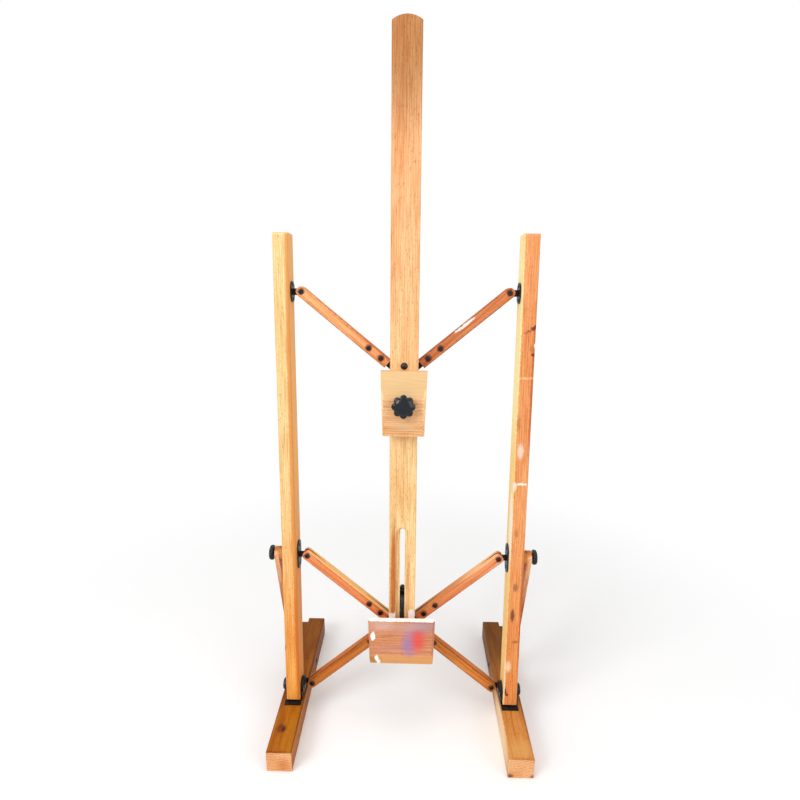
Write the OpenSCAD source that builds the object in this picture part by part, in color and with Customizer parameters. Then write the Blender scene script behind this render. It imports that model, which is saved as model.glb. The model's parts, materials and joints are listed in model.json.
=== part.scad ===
// Folding H-frame studio easel in beech, with black steel fittings.
// Two feet carry two posts on tilt bolts. Six equal arms join the posts to the
// central mast: the upper and middle pairs swing on the mast, the lower pair on
// a carriage that runs in the mast's slot, so the frame folds like an umbrella.
// The frame (posts, arms, mast) is drawn upright, with Z up the mast and Y
// through it, about the tilt bolts, and panel() leans it back over the feet.

/* [Stance] */
// Lean of the frame back from upright, in degrees
lean = 5; // [3:0.5:8]
// Angle of the arms above the horizontal when the easel is open, in degrees
arm_angle = 39.5; // [36:0.5:42]

/* [Posts] */
// Width of a post, seen from the front
post_w = 32; // [28:1:38]
// Depth of a post, front to back
post_d = 50; // [46:1:56]
// Height of a post's top above its tilt bolt
post_top = 1053; // [1000:5:1150]
// Chamfer along the edges of posts, feet and mast
edge = 1.5; // [0.8:0.1:2.5]
// Radius of the round-over on a post's top end
post_round = 7; // [4:1:10]

/* [Arms] */
// Distance between the two pivots of an arm
arm_reach = 263; // [250:1:280]
// Width of an arm across its face
arm_w = 22; // [20:1:26]
// Thickness of an arm, front to back
arm_t = 22; // [18:1:24]
// Half the distance between the left and right pivots behind the mast
hub_half = 17; // [15:1:20]
// Distance from an arm's outer pivot to the inner face of its post
hinge_out = 22; // [21:1:28]
// Distance from an arm's inner pivot to the cut end of its wood
wood_start = 25; // [24:1:30]
// Height of the upper hinge plates above the tilt bolts
upper_hinge_h = 934; // [900:1:960]
// Height of the middle hinge plates above the tilt bolts
middle_hinge_h = 336; // [325:1:345]
// Drop of the lower arms' outer pivots below the tilt bolts
lower_hinge_drop = 12.5; // [11:0.5:12.5]
// Depth of the saw cut at the post end of an arm, past the pivot
saw_depth = 38; // [18:1:50]
// Distance from the cut end of an arm's wood to the first screw of its strap
strap_screw_at = 19; // [14:1:22]
// Distance between the two screws of a strap
strap_screw_pitch = 34; // [28:1:40]
// Length of strap past its second screw
strap_tail = 13; // [9:1:16]
// Height of an upper hinge plate
upper_plate_h = 44; // [38:1:50]
// Height of a middle hinge plate
middle_plate_h = 68; // [60:1:74]
// Width of the upper and middle hinge plates
hinge_plate_w = 32; // [28:1:38]
// Radius of the round end of a hinge's tongue
tongue_r = 7; // [6:0.1:7]
// Radius of the round eye at the inner end of a strap
eye_r = 9; // [8:0.5:9.5]
// Free depth between the middle arms and the lower arms, which cross behind them
layer_gap = 2; // [1.9:0.1:4]

/* [Mast] */
// Width of the mast
mast_w = 60; // [58:1:66]
// Thickness of the mast
mast_t = 20; // [18:1:24]
// Length of the mast
mast_len = 1330; // [1250:10:1400]
// Length of mast below the pivots of the middle arms
mast_tail = 48; // [44:1:52]
// Rise of the arc that ends the mast at the top
top_rise = 10.5; // [6:0.5:16]
// Angle that the arms turn by as the easel folds up, in degrees
fold = 34; // [28:1:36]
// Length of slot left above the upper runner when the easel is folded up
slot_spare = 13; // [10:1:20]
// Width of the slot through the mast
slot_w = 11; // [10:0.5:14]
// Width of the recess in front of the slot
recess_w = 30; // [26:1:34]
// Depth of that recess
recess_depth = 8; // [5:0.5:10]
// Diameter of the clamp bolt in the mast, and of the brace bolts
bolt_d = 8; // [7:0.5:9]
// Height of the mast bolt above the upper arms' inner pivots
mast_bolt_rise = 14; // [12:1:17]
// Length of the middle bracket below the pivots of the middle arms
bracket_tail = 33; // [28:1:40]
// Height of both brackets above the pivots they carry
bracket_up = 9; // [8.5:0.5:11]

/* [Carriage] */
// Height of one runner of the carriage
runner_h = 18; // [14:1:22]
// Distance from the middle bracket up to the lower runner
runner_clear = 12; // [9:0.5:16]
// Distance between the two runners' centres
runner_pitch = 29; // [26:1:32]

/* [Canvas holders] */
// Width of the upper holder at its top
holder_w = 98; // [94:1:104]
// Width of the upper holder at its foot
holder_foot_w = 88; // [86:1:92]
// Height of the upper holder
holder_h = 135; // [120:1:138]
// Distance from the head of the mast bolt down to the upper holder, where it now stands
holder_gap = 1.2; // [0.5:0.1:200]
// Height of the upright face of the upper holder, below its slope
holder_face = 76; // [70:1:84]
// Height of the upper holder's knob above its foot
holder_knob_h = 65; // [55:1:70]
// Height of the cheeks that hold the upper holder to the mast
cheek_h = 60; // [50:1:70]
// Chamfer along the front corners of the upper holder and the tray
holder_edge = 5; // [2:0.5:7]
// Width of the lower tray at its lips
tray_w = 150; // [120:1:160]
// Width of the lower tray at its foot
tray_foot_w = 143; // [112:1:150]
// Height of the lower tray
tray_h = 118; // [105:1:122]
// Height of the tray's upright face, above its slope
tray_face = 86; // [76:1:90]
// Distance from the mast's foot down to the tray's foot
tray_drop = 25.5; // [22:0.5:28]
// Thickness of the lips that grip the canvas
lip_t = 12; // [9:0.5:15]
// Depth of the canvas groove, front to back
groove_d = 22; // [18:1:28]
// Height of the lips over the canvas groove
groove_h = 15; // [10:1:20]
// Depth of the slope on both holders
slope_in = 18; // [10:1:22]

/* [Feet] */
// Length of a foot
foot_len = 443; // [420:1:520]
// Distance from a foot's front end to its tilt bolt
foot_front = 162; // [140:1:190]
// Width of a foot
foot_w = 55; // [50:1:58]
// Height of a foot
foot_h = 52; // [44:1:58]
// Sideways offset of a foot's middle from its post's middle, outwards
foot_out = 3; // [2:0.5:4]
// Radius of the round-over under a foot's rear end
foot_round = 14; // [8:1:20]
// Width of the heel strip in a foot's rebate, behind the brace
heel_w = 20; // [16:1:24]
// Height of the heel strip
heel_h = 40; // [34:1:46]
// Distance from the heel strip to the foot's rear end
heel_short = 3.5; // [2:0.5:8]

/* [Braces] */
// Width of a brace
brace_w = 30; // [26:1:34]
// Thickness of a brace
brace_t = 10; // [8:0.5:12]
// Height of the brace bolt on the post above the tilt bolt
brace_bolt_h = 340; // [330:1:350]
// Distance of the brace's lower pivot behind the tilt bolt
brace_back = 140; // [130:1:150]
// Height of the brace's lower pivot above the floor
brace_low = 25; // [20:1:30]
// Length of the slot that the brace bolt slides in
brace_slot = 37; // [36:0.5:42]
// Thickness of the wooden spacer between a post and its brace
spacer_t = 10; // [8:0.5:12]
// Diameter of that spacer
spacer_d = 30; // [24:1:32]
// Gap between a foot's rebate and its brace, which the pivot's collar fills
pivot_gap = 5.8; // [4:0.2:7]

/* [Fittings] */
// Thickness of the steel plates and brackets
plate_t = 3; // [2.5:0.1:3.5]
// Thickness of the steel straps let into the arms
strap_t = 2.5; // [2:0.1:3]
// Diameter of the pins that the arms turn on
pin_d = 6; // [5:0.5:7]
// Diameter of the tilt bolts
tilt_d = 10; // [8:0.5:12]
// Diameter of the knobs on the holder and on the carriage, over their lobes
star_d = 50; // [42:1:54]
// Number of lobes on those knobs
star_lobes = 8; // [6:1:10]
// Diameter of the round knobs on the braces
brace_knob_d = 34; // [28:1:40]

/* [Hidden] */
$fn = 48;
run = 0.1;          // clearance on the diameter of a pin or shaft that turns in its hole
loose = 0.6;        // the same for the pivots where the linkage closes on itself
seat = 0.3;         // gap between pieces that slide or stand close to each other
screw_head_h = 1.6;
screw_head_d = 11;
screw_d = 4;
hinge_screw_len = 15;
kerf = strap_t + 2 * seat;
strap_len = wood_start + strap_screw_at + strap_screw_pitch + strap_tail;

// the linkage, in the plane of the frame
rise = arm_reach * sin(arm_angle);
pivot_x = hub_half + arm_reach * cos(arm_angle);
post_x = pivot_x + hinge_out + post_w / 2;
upper_in = upper_hinge_h - rise;
middle_in = middle_hinge_h - rise;
lower_in = rise - lower_hinge_drop;

// depths, from the middle of the posts: bracket plates, arms, carriage, lower arms
arm_v = 3;
mast_back = arm_v - arm_t / 2 - 0.5 - plate_t;
mast_front = mast_back - mast_t;
carriage_v = arm_v + arm_t / 2 + 0.5;
low_arm_v = arm_v + arm_t + layer_gap;
holder_front = mast_front - seat - groove_d - lip_t;

// the mast, its slot and the carriage
mast_foot = middle_in - mast_tail;
mast_top = mast_foot + mast_len;
runner_low = middle_in + bracket_up + runner_clear + runner_h / 2;
runner_high = runner_low + runner_pitch;
slot_foot = runner_low - runner_h / 2 - 2;
travel = 2 * arm_reach * (sin(arm_angle + fold) - sin(arm_angle));
slot_top = runner_high + runner_h / 2 + travel + slot_spare;
bolt_up = upper_in + mast_bolt_rise;
bolt_head_d = 1.9 * bolt_d;

// the canvas holders
holder_at = bolt_up - bolt_head_d / 2 - holder_gap - holder_h;
tray_at = mast_foot - tray_drop;

// the stand
pivot_z = foot_h + plate_t + 0.5 + post_d / 2;
post_y = foot_front - foot_len / 2;
foot_x = post_x + foot_out;
ear_in = post_x - post_w / 2 - 0.5 - plate_t;
ear_out = post_x + post_w / 2 + 0.5;
low_plate_x = ear_in - seat - plate_t;
brace_x = post_x + post_w / 2 + spacer_t + seat;
bolt_y = brace_bolt_h * sin(lean);
bolt_z = pivot_z + brace_bolt_h * cos(lean);
brace_len = norm([brace_back - bolt_y, bolt_z - brace_low]);
brace_angle = atan2(brace_back - bolt_y, bolt_z - brace_low);
brace_end = brace_w / 2;
rebate_x = brace_x - pivot_gap;
rebate_y = post_y + brace_back - (foot_h - brace_low) * tan(brace_angle)
    - brace_end / cos(brace_angle) - 10 * seat;
heel_y = post_y + brace_back + brace_end + 5;

beech = "#E8B274";
beech_dark = "#C98A4B";
steel = "#1B1B20";
plastic = "#101418";

// ---- placing ----

// Leans what is drawn in the frame's own axes back over the feet.
module panel() translate([0, post_y, pivot_z]) rotate([-lean, 0, 0]) children();

// Mirrors a right-hand piece to the left for hand = -1.
module on_hand(hand) mirror([hand < 0 ? 1 : 0, 0, 0]) children();

// Extrudes an outline in X and Z through the depths from v to v + t.
module slab(v, t) translate([0, v + t, 0]) rotate([90, 0, 0]) linear_extrude(t) children();

// Extrudes an outline in Y and Z along X, from x to x + t.
module cheek(x, t) translate([x, 0, 0]) rotate([90, 0, 90]) linear_extrude(t) children();

// A round bar along Y, from depth v.
module bar_y(d, v, len) translate([0, v, 0]) rotate([-90, 0, 0]) cylinder(d = d, h = len);

// A round bar along X, from x.
module bar_x(d, x, len) translate([x, 0, 0]) rotate([0, 90, 0]) cylinder(d = d, h = len);

// Axes of an arm: X along it from its inner pivot, Y in depth, turned up (dir 1) or down (-1).
module along_arm(at, dir, depth)
    translate([hub_half, depth, at]) rotate([0, -dir * arm_angle, 0]) children();

// Axes of a brace: Z along it from its lower pivot.
module along_brace()
    translate([0, post_y + brace_back, brace_low]) rotate([brace_angle, 0, 0]) children();

// ---- shapes used more than once ----

// A rectangle centred on the origin, with its corners cut.
module cut_rect(w, h, c)
    polygon([[-w / 2 + c, -h / 2], [w / 2 - c, -h / 2], [w / 2, -h / 2 + c], [w / 2, h / 2 - c],
             [w / 2 - c, h / 2], [-w / 2 + c, h / 2], [-w / 2, h / 2 - c], [-w / 2, -h / 2 + c]]);

// A slot with round ends of width w, from y0 to y1.
module obround(w, y0, y1) {
    translate([-w / 2, y0 + w / 2]) square([w, y1 - y0 - w]);
    translate([0, y0 + w / 2]) circle(d = w);
    translate([0, y1 - w / 2]) circle(d = w);
}

// A rectangle from corner a to corner b with round corners.
module round_rect(a, b, r) {
    translate([a.x + r, a.y]) square([b.x - a.x - 2 * r, b.y - a.y]);
    translate([a.x, a.y + r]) square([b.x - a.x, b.y - a.y - 2 * r]);
    for (x = [a.x + r, b.x - r], y = [a.y + r, b.y - r]) translate([x, y]) circle(r);
}

// A low domed head of diameter d and height h on the plane Z = 0.
module dome(d, h) {
    r = (d * d / 4 + h * h) / (2 * h);
    intersection() {
        translate([0, 0, h - r]) sphere(r);
        translate([0, 0, 0]) cylinder(d = d, h = h);
    }
}

// A screw along Y with its domed head in front of depth v, and its shank behind it.
module screw_y(d, head_d, v, len) {
    translate([0, v, 0]) rotate([90, 0, 0]) dome(head_d, screw_head_h);
    bar_y(d, v, len);
}

// ---- stand ----

module foot(hand) color(beech_dark) on_hand(hand) difference() {
    union() {
        difference() {
            intersection() {
                translate([foot_x, 0, 0]) rotate([90, 0, 0]) translate([0, foot_h / 2, -foot_len / 2])
                    linear_extrude(foot_len) cut_rect(foot_w, foot_h, edge);
                cheek(foot_x - foot_w, 2 * foot_w) foot_side();
            }
            translate([rebate_x, rebate_y, -1]) cube([foot_w, foot_len, foot_h + 2]);
        }
        cheek(rebate_x - 1, heel_w + 1) intersection() {
            foot_side();
            translate([heel_y, 0]) square([foot_len / 2 - heel_short - heel_y, heel_h]);
        }
    }
    translate([0, post_y + brace_back, brace_low]) bar_x(bolt_d + run, foot_x - foot_w, 2 * foot_w);
    foot_screw_places() translate([0, 0, -20]) cylinder(d = screw_d + run, h = 30);
}

// Side view of a foot: a block with cut front edges and a rounded underside at the rear.
module foot_side() {
    half = foot_len / 2;
    polygon([[-half + edge, 0], [half - foot_round, 0], [half - foot_round, foot_round],
             [half, foot_round], [half, foot_h - edge], [half - edge, foot_h],
             [-half + edge, foot_h], [-half, foot_h - edge], [-half, edge]]);
    translate([half - foot_round, foot_round]) circle(foot_round);
}

module foot_screw_places()
    for (x = [-1, 1], y = [-1, 1])
        translate([post_x + x * post_w / 4, post_y + y * post_d / 4, foot_h]) children();

module foot_screws(hand) color(steel) on_hand(hand) foot_screw_places() {
    translate([0, 0, -18]) cylinder(d = screw_d, h = 18 + plate_t / 2);
    translate([0, 0, plate_t / 2]) cylinder(d = 2 * screw_d, h = plate_t / 2 - 0.1);
}

// A U of steel plate: a web on the foot, and an ear on each side of the post.
module foot_bracket(hand) color(steel) on_hand(hand) difference() {
    union() {
        for (x = [ear_in, ear_out]) cheek(x, plate_t) ear();
        translate([ear_in, post_y - post_d / 2 - 12, foot_h])
            cube([ear_out + plate_t - ear_in, post_d + 14, plate_t]);
    }
    translate([0, post_y, pivot_z]) bar_x(tilt_d + run, ear_in - 1, post_w + 20);
    foot_screw_places() {
        translate([0, 0, -1]) cylinder(d = screw_d + run, h = 10);
        translate([0, 0, plate_t / 2]) cylinder(d = 2 * screw_d + run, h = 10);
    }
}

module ear() {
    translate([post_y, pivot_z]) circle(ear_r());
    translate([post_y - ear_r(), foot_h]) square([2 * ear_r(), pivot_z - foot_h]);
}

function ear_r() = 1.8 * tilt_d;

// The bolt that a brace turns on, through the foot, with a collar between them and a head at each end.
module brace_pivot(hand) color(steel) on_hand(hand)
    translate([0, post_y + brace_back, brace_low]) {
        bar_x(bolt_d, foot_x - foot_w / 2, brace_x + brace_t + seat - foot_x + foot_w / 2);
        bar_x(2.2 * bolt_d, rebate_x, pivot_gap - seat);
        translate([foot_x - foot_w / 2, 0, 0]) rotate([0, -90, 0]) dome(bolt_head_d, 3);
        translate([brace_x + brace_t + seat, 0, 0]) rotate([0, 90, 0]) dome(bolt_head_d, 3);
    }

module brace(hand) color(beech) on_hand(hand) along_brace() difference() {
    cheek(brace_x, brace_t) difference() {
        obround(brace_w, -brace_end, brace_len + brace_end);
        obround(bolt_d + 2 * brace_play(), brace_len - brace_slot - bolt_d / 2 - brace_play(),
                brace_len + bolt_d / 2 + brace_play());
    }
    bar_x(bolt_d + run, brace_x - 1, brace_t + 2);
}

// Side play of the brace bolt in its slot, which takes up the brace's small change of angle.
function brace_play() = 0.8;

// ---- posts and what they carry ----

module post(hand) color(beech) on_hand(hand) panel() difference() {
    intersection() {
        cheek(post_x - post_w, 2 * post_w) post_side();
        translate([post_x, 0, -post_d]) linear_extrude(post_top + 2 * post_d)
            cut_rect(post_w, post_d, edge);
    }
    bar_x(tilt_d + run, post_x - post_w, 2 * post_w);
    translate([0, 0, brace_bolt_h]) {
        bar_x(bolt_d + run, post_x - post_w, 2 * post_w);
        bar_x(2 * bolt_d + run, post_x - post_w / 2 - 1, 5);
    }
    hinge_screw_places() bar_x(screw_d + run, -1, hinge_screw_len + 2);
}

// Side view of a post: square in front at the foot, round behind to clear the bracket as it tilts.
module post_side() {
    half = post_d / 2;
    circle(half);
    translate([-half, -half + edge]) square([half, half]);
    translate([-half + edge, -half]) square([half - edge, half]);
    translate([-half, 0]) square([post_d, post_top - post_round]);
    translate([-half + post_round, 0]) square([post_d - 2 * post_round, post_top]);
    for (y = [-1, 1]) translate([y * (half - post_round), post_top - post_round]) circle(post_round);
}

// Where the screws of the upper and middle hinge plates enter the post, along X.
module hinge_screw_places() {
    for (z = [-1, 1]) {
        translate([post_x - post_w / 2, arm_v, upper_hinge_h + z * upper_plate_h / 3]) children();
        translate([post_x - post_w / 2, arm_v, middle_hinge_h + z * middle_plate_h / 3]) children();
    }
}

module hinge_screws(hand) color(steel) on_hand(hand) panel() hinge_screw_places() {
    bar_x(screw_d, -plate_t, plate_t + hinge_screw_len);
    translate([-plate_t, 0, 0]) rotate([0, -90, 0]) dome(2 * screw_d, screw_head_h);
}

// A hinge on a post: an upright plate, and a flat tongue that enters the arm's saw cut.
module hinge(hand, at, h) color(steel) on_hand(hand) panel() translate([0, arm_v, at]) {
    difference() {
        cheek(post_x - post_w / 2 - plate_t, plate_t) obround(hinge_plate_w, -h / 2, h / 2);
        for (z = [-1, 1]) translate([0, 0, z * h / 3])
            bar_x(screw_d + run, post_x - post_w, 2 * post_w);
    }
    tongue(post_x - post_w / 2 - plate_t);
}

// The tongue, from the pivot out to x, about the pivot's height and the arm's mid-depth.
module tongue(x) difference() {
    slab(-strap_t / 2, strap_t) {
        translate([pivot_x, 0]) circle(tongue_r);
        translate([pivot_x, -tongue_r]) square([x - pivot_x + 0.2, 2 * tongue_r]);
    }
    translate([pivot_x, 0, 0]) bar_y(pin_d + run, -strap_t, 2 * strap_t);
}

// The lower hinge is clamped on the tilt bolt, beside the bracket's inner ear, and turns with the post.
module lower_hinge(hand) color(steel) on_hand(hand) panel() {
    difference() {
        cheek(low_plate_x, plate_t) {
            circle(ear_r());
            translate([low_arm_v, -lower_hinge_drop]) circle(tongue_r);
            polygon([[0, ear_r()], [low_arm_v + tongue_r, -lower_hinge_drop],
                     [low_arm_v, -lower_hinge_drop - tongue_r], [0, -ear_r()]]);
        }
        bar_x(tilt_d + run, low_plate_x - 1, plate_t + 2);
    }
    translate([0, low_arm_v, -lower_hinge_drop]) tongue(low_plate_x);
}

// The bolt that a post tilts on: a domed cap outside, a flat head inside.
module tilt_bolt(hand) color(steel) on_hand(hand) panel() {
    bar_x(tilt_d, low_plate_x - 0.5, ear_out + plate_t + seat - low_plate_x + 0.5);
    translate([ear_out + plate_t + seat, 0, 0]) rotate([0, 90, 0]) dome(3 * tilt_d, 8);
    bar_x(1.8 * tilt_d, low_plate_x - 2, 2);
}

// The bolt that clamps a brace: its flat head is sunk in the post, under the middle hinge plate.
module brace_bolt(hand) color(steel) on_hand(hand) panel() translate([0, 0, brace_bolt_h]) {
    bar_x(bolt_d, post_x - post_w / 2 + 1, knob_x() + 8 - post_x + post_w / 2);
    bar_x(2 * bolt_d, post_x - post_w / 2 + 0.5, 3.5);
}

function knob_x() = brace_x + brace_t + seat;

// The wooden disc that carries the brace clear of the post.
module brace_spacer(hand) color(beech_dark) on_hand(hand) panel()
    translate([0, 0, brace_bolt_h]) difference() {
        bar_x(spacer_d, post_x + post_w / 2, spacer_t);
        bar_x(bolt_d + run, post_x, 2 * post_w);
    }

// A round knob with flutes, bored from its inner side for the brace bolt.
module brace_knob(hand) color(plastic) on_hand(hand) panel()
    translate([knob_x(), 0, brace_bolt_h]) rotate([0, 90, 0]) difference() {
        union() {
            cylinder(d = 0.55 * brace_knob_d, h = 3);
            translate([0, 0, 3]) cylinder(d = brace_knob_d, h = 9.5);
            translate([0, 0, 12.5]) dome(brace_knob_d - 2, 2);
        }
        for (a = [0:30:330]) rotate(a)
            translate([brace_knob_d / 2 + 1, 0, 2]) cylinder(d = 5, h = 14);
        translate([0, 0, -1]) cylinder(d = bolt_d + run, h = 10.5);
    }

// ---- arms ----

// The wood of an arm: round at its post end, cut square at the mast, sawn at both ends for steel.
module arm(hand, at, dir, depth) color(beech) on_hand(hand) panel() along_arm(at, dir, depth)
    difference() {
        intersection() {
            slab(-arm_t / 2, arm_t) {
                translate([wood_start, -arm_w / 2]) square([arm_reach - wood_start, arm_w]);
                translate([arm_reach, 0]) circle(d = arm_w);
            }
            rotate([90, 0, 90]) linear_extrude(arm_reach + arm_w) cut_rect(arm_t, arm_w, edge);
        }
        translate([wood_start - 1, -kerf / 2, -arm_w]) cube([strap_len - wood_start + 2, kerf, 2 * arm_w]);
        translate([arm_reach - saw_depth, -kerf / 2, -arm_w]) cube([saw_depth + arm_w, kerf, 2 * arm_w]);
        translate([arm_reach, 0, 0]) bar_y(pin_d + run, -arm_t, 2 * arm_t);
        strap_screw_places() bar_y(screw_d + run, -arm_t, 2 * arm_t);
    }

// The two screws that hold a strap in the wood, along the arm.
module strap_screw_places()
    for (s = [0, strap_screw_pitch]) translate([wood_start + strap_screw_at + s, 0, 0]) children();

// The steel strap that carries an arm on to its pivot behind the mast.
module strap(hand, at, dir, depth, play) color(steel) on_hand(hand) panel()
    along_arm(at, dir, depth) difference() {
        slab(-strap_t / 2, strap_t) {
            circle(eye_r);
            translate([0, -0.3 * arm_w]) square([strap_len, 0.6 * arm_w]);
        }
        bar_y(pin_d + play, -strap_t, 2 * strap_t);
        strap_screw_places() bar_y(screw_d + run, -strap_t, 2 * strap_t);
    }

// The pivot screw at the post end and the two strap screws, with their heads in front.
module arm_screws(hand, at, dir, depth) color(steel) on_hand(hand) panel()
    along_arm(at, dir, depth) {
        translate([arm_reach, 0, 0]) screw_y(pin_d, screw_head_d, -arm_t / 2, arm_t);
        strap_screw_places() screw_y(screw_d, screw_head_d, -arm_t / 2, arm_t - 4);
    }

// ---- mast ----

module mast() color(beech) panel() difference() {
    intersection() {
        slab(mast_front, mast_t) intersection() {
            translate([-mast_w, mast_foot]) square([2 * mast_w, mast_len]);
            mast_arc();
        }
        translate([0, (mast_front + mast_back) / 2, mast_foot - 1]) linear_extrude(mast_len + 2)
            cut_rect(mast_w, mast_t, edge);
    }
    slab(mast_front - 1, mast_t + 2) obround(slot_w, slot_foot, slot_top - 5);
    slab(mast_front - 1, recess_depth + 1) obround(recess_w, slot_foot - 10, slot_top);
    translate([0, 0, bolt_up]) bar_y(bolt_d + run, mast_front - 1, mast_t + 2);
    mast_screw_places() bar_y(screw_d + run, -15, 16);
    tray_screw_places() bar_y(screw_d + run, -mast_t - 1, mast_t + 2);
}

// The round end of the mast, through its two shoulders.
module mast_arc() {
    r = (mast_w * mast_w / 4 + top_rise * top_rise) / (2 * top_rise);
    translate([0, mast_top - r]) circle(r, $fn = 96);
    translate([-mast_w, mast_foot - 1]) square([2 * mast_w, mast_len - top_rise + 1]);
}

// Screws of the middle bracket, on the mast's back face.
module mast_screw_places()
    for (z = [8, bracket_tail - 8]) translate([0, mast_back, middle_in - z]) children();

// Screws that hold the tray, through the mast from behind.
module tray_screw_places()
    for (x = [-1, 1]) translate([x * mast_w / 3, mast_back, mast_foot + 0.45 * mast_tail]) children();

module mast_screws() color(steel) panel() {
    mast_screw_places() rotate([0, 0, 180]) screw_y(screw_d, 2 * screw_d, -plate_t, plate_t + 14);
    tray_screw_places() rotate([0, 0, 180]) screw_y(screw_d, 2 * screw_d, 0, mast_t + seat + 12);
}

// Two pins on a bracket or on the carriage, from the plate's face at depth v to a strap at depth at.
module hub_pins(v, at, z) for (x = [-1, 1]) translate([x * hub_half, 0, z]) {
    bar_y(11, v, at - strap_t / 2 - 0.1 - v);
    bar_y(pin_d, v, at + strap_t / 2 + 1 - v);
    bar_y(11, at + strap_t / 2 + 0.1, 2);
}

function hub_half_w() = hub_half + 10;

// Plate behind the mast that the two upper arms turn on, held by the mast bolt.
module upper_bracket() color(steel) panel() {
    difference() {
        slab(mast_back, plate_t) {
            round_rect([-hub_half_w(), upper_in - 11], [hub_half_w(), upper_in + bracket_up], 8);
            round_rect([-11, upper_in - 11], [11, bolt_up + 10], 8);
        }
        translate([0, 0, bolt_up]) bar_y(bolt_d + run, mast_back - 1, plate_t + 2);
    }
    hub_pins(mast_back + plate_t - 0.2, arm_v, upper_in);
}

// Plate behind the foot of the slot that the two middle arms turn on.
module middle_bracket() color(steel) panel() {
    difference() {
        slab(mast_back, plate_t) {
            round_rect([-hub_half_w(), middle_in - 11], [hub_half_w(), middle_in + bracket_up], 8);
            round_rect([-8, middle_in - bracket_tail], [8, middle_in + 5], 6);
        }
        mast_screw_places() bar_y(screw_d + run, -1, plate_t + 2);
    }
    hub_pins(mast_back + plate_t - 0.2, arm_v, middle_in);
}

// Domed bolt through the mast, with its nut behind the upper bracket.
module mast_bolt() color(steel) panel() translate([0, 0, bolt_up]) {
    translate([0, mast_front, 0]) rotate([90, 0, 0]) dome(bolt_head_d, 5);
    bar_y(bolt_d, mast_front, mast_t + plate_t + 6);
    translate([0, mast_back + plate_t, 0]) rotate([-90, 0, 0]) cylinder(d = 14, h = 5, $fn = 6);
}

// ---- carriage ----

// T-shaped plate behind the arms: the lower arms turn on its foot, the runners guide its stem.
module carriage_plate() color(steel) panel() {
    difference() {
        slab(carriage_v, plate_t) {
            round_rect([-hub_half_w(), lower_in - 11], [hub_half_w(), lower_in + 11], 8);
            round_rect([-12, lower_in - 11], [12, runner_high + 13], 8);
        }
        for (z = [runner_low, runner_high])
            translate([0, 0, z]) bar_y(bolt_d + run, carriage_v - 1, plate_t + 2);
    }
    hub_pins(carriage_v + plate_t - 0.2, low_arm_v, lower_in);
}

// Two long blocks in the slot, each on a stud that passes back through the carriage plate.
module carriage_runners() color(plastic) panel() {
    for (z = [runner_low, runner_high]) {
        slab(mast_front + recess_depth, mast_back - mast_front - recess_depth)
            obround(slot_w - 2 * seat, z - runner_h / 2, z + runner_h / 2);
        translate([0, 0, z]) bar_y(bolt_d, mast_back - 1, carriage_v + plate_t + 1 - mast_back);
        translate([0, 0, z]) bar_y(slot_w - 2 * seat, mast_back - 1, carriage_v + 1 - mast_back);
    }
    translate([0, 0, runner_high]) bar_y(bolt_d, carriage_v, plate_t + 16);
    translate([0, carriage_v + plate_t, runner_low]) rotate([-90, 0, 0]) cylinder(d = 14, h = 5, $fn = 6);
}

// Outline of a star knob: lobes of diameter d across, with hollows between them.
module star_outline(d)
    polygon([for (a = [0:3.75:356.25])
        (d / 2 - 0.11 * d * pow((1 - cos(star_lobes * a)) / 2, 1.4)) * [cos(a), sin(a)]]);

// A star knob: a neck, a lobed rim and a domed middle, with its back face on Z = 0.
module star(d) {
    cylinder(d = 0.5 * d, h = 7);
    translate([0, 0, 6]) {
        linear_extrude(9) star_outline(d);
        translate([0, 0, 9]) linear_extrude(1.5) star_outline(0.94 * d);
        translate([0, 0, 10]) dome(0.74 * d, 5);
    }
}

// Star knob that clamps the carriage to the mast, on the upper runner's stud.
module carriage_knob() color(plastic) panel()
    translate([0, carriage_v + plate_t + seat, runner_high]) rotate([-90, 0, 0]) difference() {
        star(0.84 * star_d);
        translate([0, 0, -1]) cylinder(d = bolt_d + run, h = 17.5);
    }

// ---- canvas holders ----

// Side view of a holder, its lip and groove at Z = 0 and its slope at Z = h.
module holder_side(h, face) {
    back = mast_front - seat;
    polygon([[holder_front, 0], [holder_front + lip_t, 0], [holder_front + lip_t, groove_h],
             [back, groove_h], [back, h], [holder_front + slope_in, h], [holder_front, face]]);
}

// Front view of a holder, as wide as w0 at Z = 0 and as w1 at Z = h.
module holder_front_view(w0, w1, h)
    polygon([[-w0 / 2, 0], [w0 / 2, 0], [w1 / 2, h], [-w1 / 2, h]]);

// Cuts the front corners of a holder, along its taper from w0 at Z = 0 to w1 at Z = h.
module corner_cuts(front, w0, w1, h)
    for (side = [-1, 1]) translate([side * w0 / 2, front, 0])
        rotate([0, side * atan2((w1 - w0) / 2, h), 0]) rotate([0, 0, 45])
            translate([-holder_edge / sqrt(2), -holder_edge / sqrt(2), -holder_edge])
                cube([holder_edge * sqrt(2), holder_edge * sqrt(2), h + 3 * holder_edge]);

// Upper holder: a block in front of the mast with a cheek down each side of it.
module holder_block() color(beech) panel() translate([0, 0, holder_at]) difference() {
    intersection() {
        union() {
            cheek(-holder_w / 2, holder_w) holder_side(holder_h, holder_face);
            for (x = [-holder_w / 2, mast_w / 2 + seat])
                translate([x, mast_front - seat - 1, groove_h])
                    cube([(holder_w - mast_w) / 2 - seat, mast_t + 1 + 2 * seat, cheek_h]);
        }
        slab(holder_front - 1, 2 * holder_h) holder_front_view(holder_foot_w, holder_w, holder_h);
    }
    corner_cuts(holder_front, holder_foot_w, holder_w, holder_h);
    translate([0, 0, holder_knob_h]) bar_y(bolt_d + run, holder_front - 1, groove_d + lip_t + 2);
    holder_screw_places() bar_y(screw_d + run, -12, 13);
}

module holder_screw_places()
    for (x = [-1, 1], z = [10, cheek_h - 10])
        translate([x * (mast_w + holder_foot_w) / 4, mast_back + seat, groove_h + z]) children();

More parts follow.
